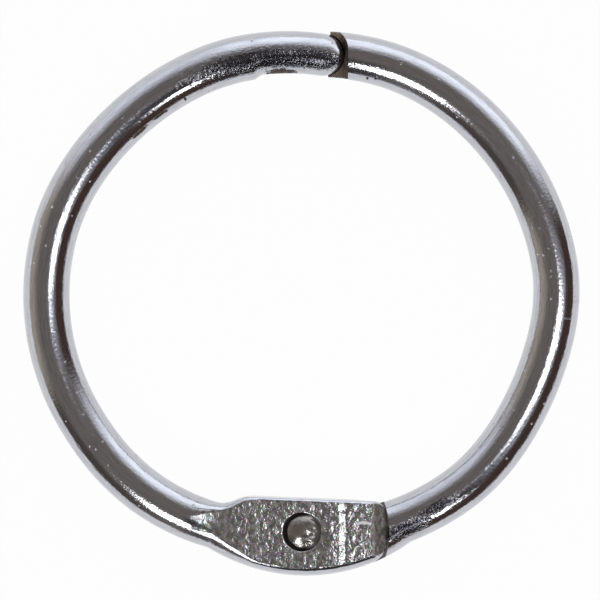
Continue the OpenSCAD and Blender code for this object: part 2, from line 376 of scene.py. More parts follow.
# %% [markdown]
# ## The closing tip
# The front half's end is swaged: rolled a little thinner over its last millimetres, flush on the
# outside and with a step on the inside, and finished with a ball. Its sections are ovals: the width
# falls at the step, and the height falls slowly all the way to the nose. Seen from above the nose is
# round. Below it is a ball, which sits in the socket, and above it is blunter, as a cutter leaves it.

# %% Sections of the swaged end and the ball nose
def tip_angle(x):
    return math.acos((x + bend_spread) / bend_r)


swage_r = bend_r + wire_r - nose_r
nose_x = nose_reach - nose_r
nose_at, swage_at = tip_angle(nose_x), tip_angle(nose_x - swage_l)
step_at = tip_angle(nose_x - swage_l - swage_step)
nose = Vector((*on_ray(nose_at, swage_r), mid_z))


def oval_section(angle, half_w):
    half_h = mix(wire_r, nose_r, ease((step_at - angle) / (step_at - nose_at)))
    inner, corner = bend_r + wire_r - 2 * half_w, (half_w, half_h)
    return section(inner, bend_r + wire_r, mid_z - half_h, mid_z + half_h, corner, corner, corner)


STEP_SECTIONS, SWAGE_SECTIONS = 16, 30
NOSE_SECTIONS, NOSE_SHARE, NOSE_BLUNT = 32, 0.97, 5.0
tip_loops = []
for t in [0.0] + spread(0, 1, STEP_SECTIONS):
    angle = mix(step_at, swage_at, t)
    tip_loops.append(ray_loop(angle, oval_section(angle, mix(wire_r, nose_r, ease(t)))))
for t in spread(0, 1, SWAGE_SECTIONS):
    angle = mix(swage_at, nose_at, t)
    tip_loops.append(ray_loop(angle, oval_section(angle, nose_r)))
ahead = Vector((math.sin(nose_at), -math.cos(nose_at), 0))
for t in spread(0, NOSE_SHARE, NOSE_SECTIONS):
    on = math.sin(t * math.pi / 2)
    half_w = nose_r * math.sqrt(1 - on ** 2)
    half_h = nose_r * (1 - on ** NOSE_BLUNT) ** (1 / NOSE_BLUNT)
    outline = section(swage_r - half_w, swage_r + half_w, mid_z - half_w, mid_z + half_h,
                      (half_w, half_w), (half_w, half_h), (half_w, half_h))
    tip_loops.append([tuple(Vector(p) + ahead * nose_r * on) for p in ray_loop(nose_at, outline)])
nose_pole = tuple(nose + ahead * nose_r)
print("tip sections:", len(tip_loops), "nose reaches x", round(nose_pole[0], 2))

# %% [markdown]
# The rear half is cut off square before its socket is made, and the edge of the cut is broken. A Bevel
# modifier would round it too, but a few more sections along a quarter circle keep the half one skin.

# %% Sections of the rear half's end, with a broken edge
socket_at = tip_angle(socket_lap - nose_reach)
BREAK_ANGLE, BREAK_SECTIONS = EDGE_BREAK / bend_r, 6
end_loops = []
for t in spread(0, 1, BREAK_SECTIONS):
    turn = (1 - t) * math.pi / 2
    r = wire_r - EDGE_BREAK * (1 - math.cos(turn))
    end_loops.append(ray_loop(socket_at + BREAK_ANGLE * (1 - math.sin(turn)), round_section(bend_r, r)))
end_loops.reverse()
print("sections at the socket's end:", len(end_loops))

# %% [markdown]
# ## Sums of node sockets
# The bent wire is a tree of Geometry Nodes, and each finish is a tree of shader nodes. Such trees are
# hard to read when every node and link has a line of its own. The class here wraps one socket, so that
# a bend, a mask or a roughness can be written as a sum, and each operator adds one Math node. Colours
# go through Mix instead, because a Math node keeps only one number of them.

# %% A socket that can be added, multiplied and mixed
class Tone:
    """One value, vector or colour in a tree of nodes."""

    def __init__(self, tree, socket=None):
        self.tree = tree
        self.socket = socket

    def node(self, kind, settings, sockets, out=0):
        """One output of a new node, with its settings and the values or links of its sockets."""
        made = self.tree.nodes.new(kind)
        for key, value in settings.items():
            setattr(made, key, value)
        for key, value in sockets.items():
            if isinstance(value, Tone):
                self.tree.links.new(value.socket, made.inputs[key])
            else:
                made.inputs[key].default_value = value
        return Tone(self.tree, made.outputs[out])

    def math(self, operation, *values):
        return self.node("ShaderNodeMath", {"operation": operation}, dict(enumerate(values)))

    def __add__(self, other):
        return self.math("ADD", self, other)

    __radd__ = __add__

    def __sub__(self, other):
        return self.math("SUBTRACT", self, other)

    def __rsub__(self, other):
        return self.math("SUBTRACT", other, self)

    def __mul__(self, other):
        return self.math("MULTIPLY", self, other)

    __rmul__ = __mul__

    def __truediv__(self, other):
        return self.math("DIVIDE", self, other)

    def __abs__(self):
        return self.math("ABSOLUTE", self)

    def larger(self, other):
        return self.math("MAXIMUM", self, other)

    def smaller(self, other):
        return self.math("MINIMUM", self, other)

    def vector(self, x, y, z):
        return self.node("ShaderNodeCombineXYZ", {}, {"X": x, "Y": y, "Z": z})

    def parts(self):
        split = self.node("ShaderNodeSeparateXYZ", {}, {"Vector": self})
        return [Tone(self.tree, s) for s in split.socket.node.outputs]

    def scaled(self, factor):
        """This vector times a number."""
        return self.node("ShaderNodeVectorMath", {"operation": "SCALE"}, {0: self, "Scale": factor})

    def rise(self, start, end):
        """0 below start, 1 above end and a smooth rise between them."""
        return self.node("ShaderNodeMapRange", {"interpolation_type": "SMOOTHSTEP"},
                         {"Value": self, "From Min": start, "From Max": end})

    def noise(self, scale, detail, out="Fac"):
        sockets = {"Vector": self, "Scale": scale, "Detail": detail}
        return self.node("ShaderNodeTexNoise", {}, sockets, out)

    def blend(self, a, b):
        """Colour a where this mask is 0 and colour b where it is 1."""
        a, b = (c if isinstance(c, Tone) else (*c, 1.0) for c in (a, b))
        return self.node("ShaderNodeMix", {"data_type": "RGBA"}, {0: self, 6: a, 7: b}, 2)

    def bump(self, depth, under=None):
        """Normal of a surface that this height, from 0 to 1, raises by depth millimetres."""
        sockets = {"Height": self, "Distance": depth * MM, "Strength": 1.0}
        if under:
            sockets["Normal"] = under
        return self.node("ShaderNodeBump", {}, sockets)


print("a socket can:", ", ".join(name for name in vars(Tone) if not name.startswith("_")))

# %% [markdown]
# ## The bent wire with Geometry Nodes
# Between tip and hinge each half is plain round wire on an arc, a shape that follows a rule. A
# Geometry Nodes tree makes the arc, pushes its points in at the flats and sweeps a circle along it. A
# curve with a bevel could do the sweep too, but the tree keeps the sizes as named inputs, and both
# halves use it. The push is the same rule as in push_in above, so the wire meets the flare.

# %% Nodes that press the two flats into the bend
FLAT_PARTS = ("angle", "depth", "width")


def press_flats(tree, given):
    """A Set Position node that moves each point of the bend inwards at the flats."""
    board = Tone(tree)
    point = board.node("GeometryNodeInputPosition", {}, {})
    x, y = point.parts()[:2]
    angle = board.math("ARCTAN2", y * -1.0, x * -1.0) + math.pi
    push = 0.0
    for place in FRONT_FLATS:
        at, depth, width = (Tone(tree, given.outputs[f"{place} flat {part}"]) for part in FLAT_PARTS)
        off = (angle - at) / width
        swell = (1.0 - off * off).larger(0.0)
        push = push + swell * swell * depth
    outwards = board.node("ShaderNodeVectorMath", {"operation": "NORMALIZE"}, {0: point})
    press = tree.nodes.new("GeometryNodeSetPosition")
    tree.links.new(outwards.scaled(push * -1.0).socket, press.inputs["Offset"])
    return press


print("inputs of a flat:", ", ".join(FLAT_PARTS))

# %% [markdown]
# The tree is a chain: arc, press, sweep, move to the bend centre, smooth shading, and last Realize
# Instances and Set Material, so that a plain mesh with its finish comes out. The identifiers of the
# inputs are kept, because a modifier is set by them.

# %% A node tree that sweeps round wire along a bend
def wire_bend_tree():
    tree = bpy.data.node_groups.new("wire_bend", "GeometryNodeTree")
    arc, profile, sweep, move, smooth, real, paint = (tree.nodes.new(f"GeometryNode{kind}") for kind in (
        "CurveArc", "CurvePrimitiveCircle", "CurveToMesh", "Transform", "SetShadeSmooth",
        "RealizeInstances", "SetMaterial"))
    arc.mode = profile.mode = "RADIUS"
    routes = [("Bend radius", "Float", arc, "Radius"), ("Wire radius", "Float", profile, "Radius"),
              ("From angle", "Float", arc, "Start Angle"), ("Sweep angle", "Float", arc, "Sweep Angle"),
              ("Stations", "Int", arc, "Resolution"), ("Sides", "Int", profile, "Resolution"),
              ("Bend centre", "Vector", move, "Translation"), ("Finish", "Material", paint, "Material")]
    inputs = [route[:2] for route in routes]
    inputs += [(f"{place} flat {part}", "Float") for place in FRONT_FLATS for part in FLAT_PARTS]
    ports = {}
    for name, kind in inputs:
        port = tree.interface.new_socket(name, in_out="INPUT", socket_type=f"NodeSocket{kind}")
        ports[name] = port.identifier
    tree.interface.new_socket("Geometry", in_out="OUTPUT", socket_type="NodeSocketGeometry")
    given, made = tree.nodes.new("NodeGroupInput"), tree.nodes.new("NodeGroupOutput")
    for name, _, node, socket in routes:
        target = next(s for s in node.inputs if s.name == socket and s.enabled)
        tree.links.new(given.outputs[name], target)
    tree.links.new(profile.outputs[0], sweep.inputs["Profile Curve"])
    chain = [arc, press_flats(tree, given), sweep, move, smooth, real, paint, made]
    for node, follower in zip(chain, chain[1:]):
        tree.links.new(node.outputs[0], follower.inputs[0])
    return tree, ports


wire_tree, wire_ports = wire_bend_tree()
print("wire tree inputs:", ", ".join(wire_ports))

# %% [markdown]
# A modifier runs the tree on an empty mesh, and the result is copied, so that the wire is plain
# geometry that can be welded and cut.

# %% Evaluate the tree into a plain mesh
STATION_LENGTH = 0.14


def into_scene(thing):
    bpy.context.scene.collection.objects.link(thing)


def evaluated_mesh(thing):
    """Plain mesh of an object after its modifiers."""
    bpy.context.view_layer.update()
    return bpy.data.meshes.new_from_object(thing.evaluated_get(bpy.context.evaluated_depsgraph_get()))


def bent_wire(start, flats, finish):
    """Mesh, in metres, of the round wire from one angle to the start of the flare."""
    holder = bpy.data.objects.new("wire_stretch", bpy.data.meshes.new("wire_stretch"))
    into_scene(holder)
    modifier = holder.modifiers.new("wire bend", "NODES")
    modifier.node_group = wire_tree
    sweep_angle = flare_from - start
    sizes = {"Bend radius": bend_r * MM, "Wire radius": wire_r * MM, "From angle": start,
             "Sweep angle": sweep_angle, "Sides": SIDES, "Finish": finish,
             "Stations": int(sweep_angle * bend_r / STATION_LENGTH),
             "Bend centre": (-bend_spread * MM, 0.0, mid_z * MM)}
    for place, (at, depth, width) in flats.items():
        sizes[f"{place} flat angle"] = math.radians(at)
        sizes[f"{place} flat depth"] = depth * MM
        sizes[f"{place} flat width"] = math.radians(width)
    for name, value in sizes.items():
        modifier[wire_ports[name]] = value
    mesh = evaluated_mesh(holder)
    bpy.data.objects.remove(holder)
    print(f"swept wire: {len(mesh.polygons)} faces over {math.degrees(sweep_angle):.1f} degrees")
    return mesh


# %% [markdown]
# ## Welding skins and cutting seats
# The swept wire and the skins over the sections share the points where they meet, so they can be
# welded into one closed mesh. The seats are then cut with Boolean differences, as a cutter would do
# it on the real ring: the step under the plate, the bore and recess of the rivet, and the socket.

# %% Weld the wire and the skins of one half
WELD = 0.035


def as_object(bm, name):
    """Object with the mesh that was built."""
    mesh = bpy.data.meshes.new(name)
    bm.to_mesh(mesh)
    bm.free()
    return bpy.data.objects.new(name, mesh)


def skin(bm, loops, pole=None):
    """Quads over a row of sections, closed by a pole or by a flat face at the last one."""
    rows = [[bm.verts.new([v * MM for v in p]) for p in loop] for loop in loops]
    for a, b in zip(rows, rows[1:]):
        for i in range(SIDES):
            k = (i + 1) % SIDES
            bm.faces.new((a[i], a[k], b[k], b[i]))
    if pole:
        tip = bm.verts.new([v * MM for v in pole])
        for i in range(SIDES):
            bm.faces.new((rows[-1][i], rows[-1][(i + 1) % SIDES], tip))
    else:
        bm.faces.new(rows[-1])


def half_ring(name, tip, pole, wire_start, flats, side, finish):
    bm = bmesh.new()
    bm.from_mesh(bent_wire(wire_start, flats, finish))
    wire_ends = [v for v in bm.verts if v.is_boundary]
    skin(bm, tip, pole)
    skin(bm, flare_loops(side, flats) + plate_loops(side))
    ends = [v for v in bm.verts if v.is_boundary]
    kept = list(set(ends) - set(wire_ends))
    pairs = bmesh.ops.find_doubles(bm, verts=ends, keep_verts=kept, dist=WELD * MM)["targetmap"]
    bmesh.ops.weld_verts(bm, targetmap=pairs)
    bmesh.ops.recalc_face_normals(bm, faces=bm.faces)
    open_edges = sum(1 for e in bm.edges if not e.is_manifold)
    print(f"{name}: {len(pairs)} points welded, {open_edges} open edges, {len(bm.faces)} faces")
    piece = as_object(bm, name)
    piece.data.materials.append(finish)
    into_scene(piece)
    return piece


# %% [markdown]
# The room under a plate, the bore with its recess and the rivet are all turned about one axis, so one
# function turns a profile into a closed body. The exact Boolean solver leaves clean edges, and the
# recess gets a small rounded lip, because a used edge is never sharp.

# %% Cutters and the Boolean cut
def turned_body(name, centre, profile, steps=128):
    """Closed body of revolution about an upright axis, from (radius, height) points."""
    bm = bmesh.new()
    rows = []
    for i in range(steps):
        a = 2 * math.pi * i / steps
        points = [(centre[0] + r * math.cos(a), centre[1] + r * math.sin(a), z) for r, z in profile]
        rows.append([bm.verts.new([v * MM for v in p]) for p in points])
    for i in range(steps):
        a, b = rows[i], rows[(i + 1) % steps]
        for j in range(len(profile) - 1):
            bm.faces.new((a[j], b[j], b[j + 1], a[j + 1]))
    bm.faces.new([row[0] for row in reversed(rows)])
    bm.faces.new([row[-1] for row in rows])
    bmesh.ops.recalc_face_normals(bm, faces=bm.faces)
    return as_object(bm, name)


SHARP_FROM = math.radians(32)


def shade(mesh):
    """Smooth faces, with sharp edges where two of them meet steeply."""
    for face in mesh.polygons:
        face.use_smooth = True
    mesh.set_sharp_from_angle(angle=SHARP_FROM)


def cut(piece, cutters):
    for cutter in cutters:
        into_scene(cutter)
        step = piece.modifiers.new(cutter.name, "BOOLEAN")
        step.operation, step.solver, step.object = "DIFFERENCE", "EXACT", cutter
    mesh = evaluated_mesh(piece)
    piece.modifiers.clear()
    piece.data = mesh
    for cutter in cutters:
        bpy.data.objects.remove(cutter)
    shade(mesh)
    print(f"{piece.name}: cut to {len(mesh.polygons)} faces")


LIP, LIP_STEPS = 0.05, 5


def hinge_cutters(fit):
    """The room under the other half's plate, and the bore and recess of the rivet."""
    seat_z, seat_r, bore_r = face_z - recess_depth, head_d / 2 + head_fit, shank_d / 2 + fit
    lip = []
    for t in [0.0] + spread(0, 1, LIP_STEPS):
        turn = t * math.pi / 2
        lip.append((seat_r + LIP * (1 - math.cos(turn)), face_z - LIP * (1 - math.sin(turn))))
    lap_r, above = tab_reach + tab_gap, (lip[-1][0], face_z + wire_r)
    lap = [(lap_r, lap_z - 2 * wire_r), (lap_r, lap_z)]
    seat = [(bore_r, -wire_r), (bore_r, seat_z), (seat_r, seat_z), *lip, above]
    return [turned_body("lap_room", rivet, lap), turned_body("rivet_seat", rivet, seat)]


print(f"lip of the recess: {LIP} mm")

# %% [markdown]
# ## Worn nickel
# The wire was drawn through a die, bent and plated. What the eye sees is a mirror with fine lines
# along the wire, small pits that glitter, and a little brown rust where two rings rubbed. A painted
# picture would need a map of the wire, so every mark is a sum of places and noises instead, in Object
# coordinates, which stay on the piece when it turns.

# %% A new finish, and its colours
NICKEL, FACE_NICKEL, DULL_NICKEL = (0.54, 0.55, 0.59), (0.80, 0.82, 0.86), (0.31, 0.31, 0.32)
# painted highlight: the near-white colour of the burr on the tab
BURR_HIGHLIGHT = (0.92, 0.92, 0.93)
PALE_RUST, RUST, DARK_RUST = (0.34, 0.26, 0.19), (0.13, 0.095, 0.068), (0.040, 0.025, 0.018)
# Of the three colours on the next line, the second darkens worn stretches with painted dark reflection,
# and the third is painted shade for the rivet's recess.
DRAWN_LINES, SCUFF_AND_DARK_REFLECTION, RECESS_SHADE = (0.38, 0.38, 0.41), (0.075, 0.075, 0.09), (0.020, 0.014, 0.010)


def new_finish(name):
    """A metal material with its shader, and its Object coordinates in millimetres."""
    material = bpy.data.materials.new(name)
    material.use_nodes = True
    board = Tone(material.node_tree)
    shader = material.node_tree.nodes["Principled BSDF"]
    place = board.node("ShaderNodeTexCoord", {}, {}, "Object").scaled(1 / MM)
    return material, shader, board, place


def connect(shader, **tones):
    for name, tone in tones.items():
        tone.tree.links.new(tone.socket, shader.inputs[name.replace("_", " ")])


print("nickel", NICKEL, "and rust", RUST)

# %% [markdown]
# Most marks follow the wire, so they are laid out in the wire's own coordinates: the way along the
# bend, and the place in its section.

# %% Coordinates along the bent wire
def length(a, b):
    return a.math("SQRT", a * a + b * b)


def along_wire(place, side):
    """Way along the bend, place in the section and distance from its middle, in millimetres."""
    x, y, z = place.parts()
    across, up = x + side * bend_spread, y - ring_shift
    out = length(across, up) - bend_r
    way = place.math("ARCTAN2", up * -side, across * -side) * bend_r
    height = (z - mid_z) * side
    return way, out, height, length(out, height)


print(f"marks are placed along {2 * math.pi * bend_r:.1f} mm of bend")

# %% [markdown]
# Wear sits in places of its own. A mark is given by its ring angle, anticlockwise from the right as
# seen from above, its distance from the wire's middle line, and its half length and half width. A
# noise makes its edge ragged. The whole list becomes one mask, which can darken, roughen or dent.

# %% Ragged marks along the wire
RAGGED_EDGE = 1.5


def marks(way, out, ragged, side, places, soft=0.25):
    mask = None
    start = 180 if side > 0 else 0
    for ring_angle, middle, half_l, half_w in places:
        off = way - math.radians(ring_angle - start) * bend_r
        far = length(off / half_l, (out - middle) / half_w)
        mark = 1.0 - far + (ragged - 0.5) * RAGGED_EDGE
        mask = mark if mask is None else mask.larger(mark)
    return mask.rise(0.0, soft)


print(f"a mark's edge wanders by up to {RAGGED_EDGE / 2} of its half width")

# %% [markdown]
# The plate carries the grain of the stamp that pressed it: blotches of a few tenths of a millimetre that
# catch the light in small glints, more of them towards the tab. It follows the face, also where the tab
# is rolled down, and the rolled end is rougher and darkened towards brown with painted shade. The recess
# round the rivet's head is darkened with painted shade, less of it on the side where the head meets its
# wall. These masks are sums of heights and distances, so they fit the geometry without a painted picture.

# %% Masks of the pressed plate
FACE_EDGE, GRAIN_ENDS = 0.026, (5.2, 6.2)
# Painted shade in the rivet's recess: its depth, and the side where it fades because the head meets its
# wall
RECESS_SHADE_DEPTH, LIT_SIDE, LIT_SHARE = 0.12, (0.1, 0.7), 0.75
GLINT, MORE_GLINT, FLARE_GLINTS, TAB_GLINTS = 0.35, 0.4, (-4.6, -3.6), (0.9, 1.5)
CREASE_NEAR, CREASE_CALM = (0.1, 0.25), 0.15
DULL_SHADE_FROM, DULL_SHADE_RAGGED = (-0.15, 0.1), 0.6


def plate_masks(place, side, height, ragged):
    """Where the plate is grained, how much it glints, where its rolled end is rougher and darkened with
    painted shade, and the painted shade in the rivet's recess.
    """
    x, y = place.parts()[:2]
    along, face_h = x * side, face_z - mid_z
    from_rivet = length(x - hinge_at[0], y - hinge_at[1])
    tab = along.rise(crease_x - crease_w / 2, crease_x + crease_w / 2)
    rolled = (along - roll_from).larger(0.0)
    bent = rolled.smaller(bend_l)
    drop = tab * crease_step + bent * bent / (2 * roll_r) + (rolled - bent) * math.tan(roll_slope)
    flat = (height + drop).rise(face_h - FACE_EDGE, face_h - FACE_EDGE / 4)
    grained = flat * (1.0 - from_rivet.rise(*GRAIN_ENDS))
    seat_r = head_d / 2 + head_fit
    seat = 1.0 - from_rivet.rise(seat_r, seat_r + LIP)
    shaded = 1.0 - LIT_SHARE * (along - hinge_at[0]).rise(*LIT_SIDE)
    # painted shade: the recess round the rivet's head is darkened, less of it on the side where the head
    # meets its wall
    recess_shade = seat * shaded * (1.0 - height.rise(face_h - RECESS_SHADE_DEPTH, face_h - LIP / 2))
    creased = 1.0 - abs(along - crease_x).rise(*CREASE_NEAR)
    more = along.rise(*FLARE_GLINTS) + along.rise(*TAB_GLINTS)
    glinting = GLINT + MORE_GLINT * more - CREASE_CALM * creased
    # rougher at the rolled end, and painted shade there that pulls its colour towards brown
    dull_and_shaded = (along + (ragged - 0.5) * DULL_SHADE_RAGGED).rise(*(roll_from + d for d in DULL_SHADE_FROM))
    return grained, glinting, dull_and_shaded, recess_shade


print(f"the grain fades out {GRAIN_ENDS[0]} to {GRAIN_ENDS[1]} mm from the rivet")

# %% [markdown]
# A tool slipped on the tab and raised a thin curved burr. It is less than a tenth of a millimetre high,
# so it isn't worth any faces: it is a mask that lifts the normal, and in the finish it also paints a
# highlight, a near-white and less metallic colour.

# %% A burr that a slipped tool left on the tab
BURR_MIDDLE, BURR_BEND, BURR_HALF = (3.3, -11.74), 0.7, 0.42
BURR_SLOPE, BURR_FADE = (0.02, 0.11), 0.1


def burr(place):
    """A thin arc, highest at its middle, on the upper face of the ring."""
    x, y, z = place.parts()
    across, up = x - BURR_MIDDLE[0], y - (BURR_MIDDLE[1] - BURR_BEND)
    line = 1.0 - abs(length(across, up) - BURR_BEND).rise(*BURR_SLOPE)
    ends = 1.0 - abs(across).rise(BURR_HALF - BURR_FADE, BURR_HALF)
    upper = up.rise(0.0, BURR_FADE) * z.rise(mid_z, mid_z + BURR_FADE)
    return line * ends * upper


print(f"burr: {2 * BURR_HALF} mm long")

# %% [markdown]
# Rust sits in the marks on the upper side. The socket's cut face was never plated, so it is rust brown
# all over, with painted shade that keeps it dark in the middle, inside the socket, and paler at its outer
# and inner end. One ragged noise splits the browns.

# %% Rust in the marks and on the cut face
RUST_UPPER, DARK_SPLIT, PALE_SPLIT = (0.3, 0.6), (0.42, 0.75), (0.3, 0.62)
SOCKET_Y, SOCKET_X, CUT_SKIN = (11.0, 11.5), (2.52, 2.6), (0.05, 0.02)
CUT_COVER, CUT_RAGGED = 0.75, 0.4
PALE_OUT, PALE_IN, PALE_IN_SHARE = (13.7, 14.4), (12.4, 13.0), 0.35


def rust_and_brown(place, wire, ragged, side, rusty, cut_rust_and_shade):
    """Mask and colour of the rust, and of the socket's cut face with its painted shade."""
    way, out, height, depth = wire
    rust = marks(way, out, ragged, side, rusty) * (height * side + ragged).rise(*RUST_UPPER)
    brown = ragged.rise(*DARK_SPLIT).blend(DARK_RUST, RUST)
    if cut_rust_and_shade:
        x, y = place.parts()[:2]
        socket = y.rise(*SOCKET_Y) * (1.0 - x.rise(*SOCKET_X))
        # the socket's cut face: rust, with painted shade that is darker in the middle of the socket
        cut_face = (1.0 - depth.rise(*(wire_r - d for d in CUT_SKIN))) * socket
        rust = rust.larger(cut_face * (CUT_COVER + ragged * CUT_RAGGED).smaller(1.0))
        pale = y.rise(*PALE_OUT).larger((1.0 - y.rise(*PALE_IN)) * PALE_IN_SHARE)
        brown = (cut_face * pale).blend(brown, ragged.rise(*PALE_SPLIT).blend(RUST, PALE_RUST))
    return rust, brown


print("browns:", PALE_RUST, RUST, DARK_RUST)

# %% [markdown]
# All masks meet in one finish, which both halves use with their own marks. Rust, the painted shade in the
# rivet's recess and the painted highlight on the burr are rough and hardly metal. The relief is a stack
# of four bumps, so that fine lines stay visible on coarse shapes.

# %% The finish of a half ring
# Features in a millimetre and detail of each noise
GRIT, CLOUDS, RAGS, SPECKS = (7.5, 3.0), (0.55, 3.0), (5.0, 5.0), (12.0, 2.0)
BLOTCHES, GLINTS, MOTTLES, TINTS = (3.4, 3.0), (2.2, 1.5), (4.5, 3.0), (5.5, 2.0)
# Tones and shares of the colours, and the depth of each relief in millimetres
LINE_ALONG, LINE_ACROSS, LINE_TONES, LINE_SHARE = 1.1, 8.0, (0.4, 0.65), 0.4
PIT_CELLS, PIT_RIM, PIT_CHANCE = 3.0, (0.06, 0.2), (0.82, 0.84)
STRETCHED, MOTTLE_TONES, TINT_SHARE = 0.78, (0.40, 0.62), 0.4
SCUFF_SOFT, SCUFF_REFLECTION_SHARE, END_SHADE_SHARE = 0.5, 0.9, 0.6
RUST_AND_SHADE_ROUGH, BURR_ROUGH, METAL_LOSS = 0.6, 0.25, 0.8
LINE_RELIEF, PIT_RELIEF, FACE_RELIEF, RUST_RELIEF = 0.014, 0.04, 0.053, 0.05
SPECK_SHARE, BURR_SHARE = 0.2, 1.3


def half_finish(name, side, rusty, nicked, scuffs_and_dark_reflections, cut_rust_and_shade):
    """Worn nickel with the marks of one half."""
    material, shader, board, place = new_finish(name)
    wire = along_wire(place, side)
    way, out, height = wire[:3]
    drawn = board.vector(way * LINE_ALONG, out * LINE_ACROSS, height * LINE_ACROSS).noise(1.0, 4.0)
    grit = place.noise(*GRIT)
    cloudy = place.noise(*CLOUDS)
    ragged = place.noise(*RAGS)
    grained, glinting, dull_and_shaded, recess_shade = plate_masks(place, side, height, ragged)
    # the burr, which also carries a painted highlight: near-white, rougher and less metallic
    burr_and_highlight = grained * (burr(place) if side > 0 else 0.0)
    rust, brown = rust_and_brown(place, wire, ragged, side, rusty, cut_rust_and_shade)
    nick = marks(way, out, grit, side, nicked)
    scuff_and_dark_reflection = marks(way, out, grit, side, scuffs_and_dark_reflections, SCUFF_SOFT)

    cells = {"Vector": place, "Scale": PIT_CELLS}
    far = board.node("ShaderNodeTexVoronoi", {}, cells)
    chance = board.node("ShaderNodeTexVoronoi", {}, cells, "Color").parts()[0]
    pit = (1.0 - far.rise(*PIT_RIM)) * chance.rise(*PIT_CHANCE)

    x, y, z = place.parts()
    pressed = board.vector(x, y * STRETCHED, z)
    blotch = pressed.noise(*BLOTCHES) + glinting * pressed.noise(*GLINTS)
    speck = place.noise(*SPECKS)
    mottle = pressed.noise(*MOTTLES).rise(*MOTTLE_TONES)
    tint = place.noise(*TINTS, "Color")

    lined = (drawn.rise(*LINE_TONES) * LINE_SHARE).blend(NICKEL, DRAWN_LINES)
    colour = grained.blend(lined, mottle.blend(DULL_NICKEL, FACE_NICKEL))
    colour = (grained * TINT_SHARE).blend(colour, tint)
    # painted highlight on the burr, in near-white, and painted dark reflection on the worn stretches, in
    # dark blue-grey
    colour = (scuff_and_dark_reflection * SCUFF_REFLECTION_SHARE).blend(burr_and_highlight.blend(colour, BURR_HIGHLIGHT), SCUFF_AND_DARK_REFLECTION)
    # painted shade: the rolled end of the tab is darkened towards brown
    colour = (grained * dull_and_shaded * END_SHADE_SHARE).blend(colour, RUST)
    # painted shade in the rivet's recess, laid over the rust
    colour = recess_shade.blend(rust.blend(colour, brown), RECESS_SHADE)
    rust_and_shade = rust.larger(recess_shade)
    roughness = 0.07 + drawn * 0.06 + cloudy * 0.05 + nick * 0.13 + scuff_and_dark_reflection * 0.04
    roughness = (roughness + grained * (0.08 + dull_and_shaded * 0.3)) * (1.0 - rust_and_shade)
    roughness = roughness + rust_and_shade * RUST_AND_SHADE_ROUGH + burr_and_highlight * BURR_ROUGH
    connect(shader, Base_Color=colour, Roughness=roughness, Metallic=1.0 - (rust_and_shade + burr_and_highlight) * METAL_LOSS)

    smooth = 1.0 - grained
    normal = ((drawn * 0.5 + grit * (0.5 + scuff_and_dark_reflection)) * smooth).bump(LINE_RELIEF)
    normal = ((1.0 - pit) * smooth).bump(PIT_RELIEF, normal)
    stamped = (blotch + speck * SPECK_SHARE) * (grained - burr_and_highlight) * glinting
    normal = (stamped + burr_and_highlight * BURR_SHARE).bump(FACE_RELIEF, normal)
    normal = (ragged * rust - nick).bump(RUST_RELIEF, normal)
    connect(shader, Normal=normal)
    print(f"{name}: {len(material.node_tree.nodes)} nodes")
    return material


# %% [markdown]
# The marks themselves are few: rust inside the bend, small nicks, and a long worn stretch behind the
# nose, where fingers and the socket have rubbed the plating. Its dark colour is partly a painted dark
# reflection. Each list belongs to one half.

# %% Where each half is marked
front_rust = [(91.6, -0.97, 0.95, 0.19), (132.0, -1.17, 0.65, 0.09), (125.4, -1.14, 0.6, 0.08),
              (117.5, -1.1, 0.09, 0.09)]
front_nicks = [(246.2, -0.55, 0.14, 0.1), (205.8, -0.97, 0.3, 0.05), (226.9, -1.1, 0.12, 0.07),
               (132.8, 0.0, 0.07, 0.07), (102.6, -0.6, 0.07, 0.06), (100.0, 0.1, 0.06, 0.05)]
# worn stretches behind the nose: rubbed plating, darkened with painted dark reflection
front_scuffs_and_dark_reflection = [(97.0, -0.22, 4.4, 0.62), (84.5, -0.2, 2.4, 0.6)]
rear_rust = [(76.9, -1.02, 0.08, 0.07), (74.8, -0.93, 0.08, 0.07)]
rear_nicks = [(11.5, -0.27, 0.09, 0.07), (23.8, 0.27, 0.08, 0.06), (16.8, -0.5, 0.07, 0.06),
              (-5.4, 0.5, 0.04, 0.24), (-1.4, 1.05, 0.05, 0.22)]
rear_scuffs = [(-60.5, 0.1, 1.3, 0.35), (-69.5, 0.45, 1.8, 0.45)]
front_nickel = half_finish("front_half_nickel", 1, front_rust, front_nicks, front_scuffs_and_dark_reflection, False)
rear_nickel = half_finish("rear_half_nickel", -1, rear_rust, rear_nicks, rear_scuffs, True)

# %% [markdown]
# ## The front half
# Now the pieces come together: weld the sections, cut the seats, and let the piece ride on its body.

# %% Make the front half
def settle(piece, body, node):
    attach(piece, body)
    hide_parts(node)


def place_half(piece, turned):
    for v in piece.data.vertices:
        if turned:
            v.co.x, v.co.z = -v.co.x, 2 * mid_z * MM - v.co.z
        v.co.y += ring_shift * MM


front = half_ring("front_half_wire", tip_loops, nose_pole, step_at, FRONT_FLATS, 1, front_nickel)
cut(front, hinge_cutters(turning_fit))
place_half(front, False)
settle(front, "front", "front_half")

# %% [markdown]
# ## The rear half
# It is made in the front half's frame and then turned over. Its end takes two more cuts: a ball gives
# the nose its room, and a tilted block opens the socket on top. The shoulder's outer corner is worn
# round, so that edge of the block is bevelled first.

# %% Make the rear half
SOCKET_OUT, SHOULDER_ROUND, SHOULDER_STEPS = 1.29, 0.7, 10


